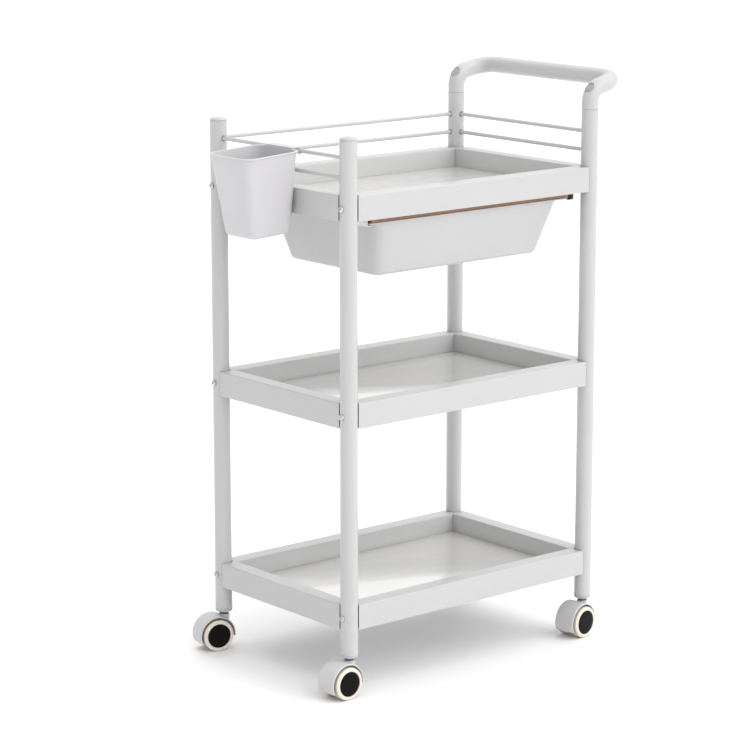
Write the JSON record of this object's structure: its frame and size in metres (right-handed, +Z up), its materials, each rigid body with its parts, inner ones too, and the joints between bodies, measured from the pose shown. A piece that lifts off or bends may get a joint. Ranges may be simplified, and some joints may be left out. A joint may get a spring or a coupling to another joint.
{
  "type": "rolling utility trolley",
  "caption": "Rolling utility trolley with steel trays on tube posts, a push handle, guard rods, a slide-out drawer, a hang-on bucket and swivelling casters.",
  "frame": {"origin": "on the floor, under the middle of the whole object's length and depth", "axes": "+X towards the push handle, -Y is the front that the drawer opens to, +Z up"},
  "size_m": [0.6406, 0.3536, 0.8633],
  "materials": {
    "white_powder_coat": "satin white powder coat",
    "white_plastic": "satin moulded white plastic",
    "cool_white_plastic": "satin moulded cool white plastic",
    "grey_plug_plastic": "matt grey plastic",
    "beige_tread": "beige wheel plastic and tread",
    "black_gloss_plastic": "glossy black disc let into each wheel",
    "brown_board": "raw brown board edge",
    "zinc_steel": "galvanised sheet steel",
    "dark_steel": "dark zinc",
    "chrome": "bright plated"
  },
  "bodies": {
    "frame": {"post_front_left": "white_powder_coat", "post_back_left": "white_powder_coat", "post_front_right": "white_powder_coat", "post_back_right": "white_powder_coat", "post_cap_front_left": "white_plastic", "post_cap_back_left": "white_plastic", "handle": "white_powder_coat", "handle_plug_front": "grey_plug_plastic", "handle_plug_back": "grey_plug_plastic", "guard_rod_left_lower": "white_powder_coat", "guard_rod_left_upper": "white_powder_coat", "guard_rod_right_lower": "white_powder_coat", "guard_rod_right_upper": "white_powder_coat", "guard_rod_back_lower": "white_powder_coat", "guard_rod_back_upper": "white_powder_coat", "tray_bottom": "white_powder_coat", "tray_bottom_screw_front_left": "chrome", "tray_bottom_screw_back_left": "chrome", "tray_bottom_screw_front_right": "chrome", "tray_bottom_screw_back_right": "chrome", "tray_middle": "white_powder_coat", "tray_middle_screw_front_left": "chrome", "tray_middle_screw_back_left": "chrome", "tray_middle_screw_front_right": "chrome", "tray_middle_screw_back_right": "chrome", "tray_top": "white_powder_coat", "tray_top_screw_front_left": "chrome", "tray_top_screw_back_left": "chrome", "tray_top_screw_front_right": "chrome", "tray_top_screw_back_right": "chrome", "stiffener_board": "brown_board", "drawer_rail_left": "zinc_steel", "drawer_rail_right": "zinc_steel", "caster_front_left_socket": "white_plastic", "caster_back_left_socket": "white_plastic", "caster_front_right_socket": "white_plastic", "caster_back_right_socket": "white_plastic"},
    "drawer": {"drawer": "white_plastic"},
    "bucket": {"bucket": "cool_white_plastic"},
    "caster_front_left": {"caster_front_left_stem": "dark_steel", "caster_front_left_hood": "cool_white_plastic", "caster_front_left_axle": "dark_steel"},
    "caster_front_left_wheel_a": {"caster_front_left_wheel_a": "beige_tread"},
    "caster_front_left_wheel_b": {"caster_front_left_wheel_b": "beige_tread"},
    "caster_back_left": {"caster_back_left_stem": "dark_steel", "caster_back_left_hood": "cool_white_plastic", "caster_back_left_axle": "dark_steel"},
    "caster_back_left_wheel_a": {"caster_back_left_wheel_a": "beige_tread"},
    "caster_back_left_wheel_b": {"caster_back_left_wheel_b": "beige_tread"},
    "caster_front_right": {"caster_front_right_stem": "dark_steel", "caster_front_right_hood": "cool_white_plastic", "caster_front_right_axle": "dark_steel"},
    "caster_front_right_wheel_a": {"caster_front_right_wheel_a": "beige_tread"},
    "caster_front_right_wheel_b": {"caster_front_right_wheel_b": "beige_tread"},
    "caster_back_right": {"caster_back_right_stem": "dark_steel", "caster_back_right_hood": "cool_white_plastic", "caster_back_right_axle": "dark_steel"},
    "caster_back_right_wheel_a": {"caster_back_right_wheel_a": "beige_tread"},
    "caster_back_right_wheel_b": {"caster_back_right_wheel_b": "beige_tread"}
  },
  "joints": [
    {"name": "drawer_slide", "type": "slide", "parent": "frame", "child": "drawer", "axis": [0, -1, 0], "range_m": [0, 0.2]},
    {"name": "bucket_lift", "type": "slide", "parent": "frame", "child": "bucket", "axis": [0, 0, 1], "range_m": [0, 0.12]},
    {"name": "caster_front_left_swivel", "type": "hinge", "parent": "frame", "child": "caster_front_left", "pos_m": [-0.21407, -0.1491, 0.05701], "axis": [0, 0, 1], "continuous": true},
    {"name": "caster_front_left_wheel_a_spin", "type": "hinge", "parent": "caster_front_left", "child": "caster_front_left_wheel_a", "pos_m": [-0.23056, -0.14939, 0.024], "axis": [-0.0175, 0.9998, 0], "continuous": true},
    {"name": "caster_front_left_wheel_b_spin", "type": "hinge", "parent": "caster_front_left", "child": "caster_front_left_wheel_b", "pos_m": [-0.23056, -0.14939, 0.024], "axis": [-0.0175, 0.9998, 0], "continuous": true},
    {"name": "caster_back_left_swivel", "type": "hinge", "parent": "frame", "child": "caster_back_left", "pos_m": [-0.21407, 0.1491, 0.05701], "axis": [0, 0, 1], "continuous": true},
    {"name": "caster_back_left_wheel_a_spin", "type": "hinge", "parent": "caster_back_left", "child": "caster_back_left_wheel_a", "pos_m": [-0.23008, 0.15309, 0.024], "axis": [0.2419, 0.9703, 0], "continuous": true},
    {"name": "caster_back_left_wheel_b_spin", "type": "hinge", "parent": "caster_back_left", "child": "caster_back_left_wheel_b", "pos_m": [-0.23008, 0.15309, 0.024], "axis": [0.2419, 0.9703, 0], "continuous": true},
    {"name": "caster_front_right_swivel", "type": "hinge", "parent": "frame", "child": "caster_front_right", "pos_m": [0.25033, -0.1491, 0.05701], "axis": [0, 0, 1], "continuous": true},
    {"name": "caster_front_right_wheel_a_spin", "type": "hinge", "parent": "caster_front_right", "child": "caster_front_right_wheel_a", "pos_m": [0.234, -0.1514, 0.024], "axis": [-0.1392, 0.9903, 0], "continuous": true},
    {"name": "caster_front_right_wheel_b_spin", "type": "hinge", "parent": "caster_front_right", "child": "caster_front_right_wheel_b", "pos_m": [0.234, -0.1514, 0.024], "axis": [-0.1392, 0.9903, 0], "continuous": true},
    {"name": "caster_back_right_swivel", "type": "hinge", "parent": "frame", "child": "caster_back_right", "pos_m": [0.25033, 0.1491, 0.05701], "axis": [0, 0, 1], "continuous": true},
    {"name": "caster_back_right_wheel_a_spin", "type": "hinge", "parent": "caster_back_right", "child": "caster_back_right_wheel_a", "pos_m": [0.23392, 0.15082, 0.024], "axis": [0.1045, 0.9945, 0], "continuous": true},
    {"name": "caster_back_right_wheel_b_spin", "type": "hinge", "parent": "caster_back_right", "child": "caster_back_right_wheel_b", "pos_m": [0.23392, 0.15082, 0.024], "axis": [0.1045, 0.9945, 0], "continuous": true}
  ]
}
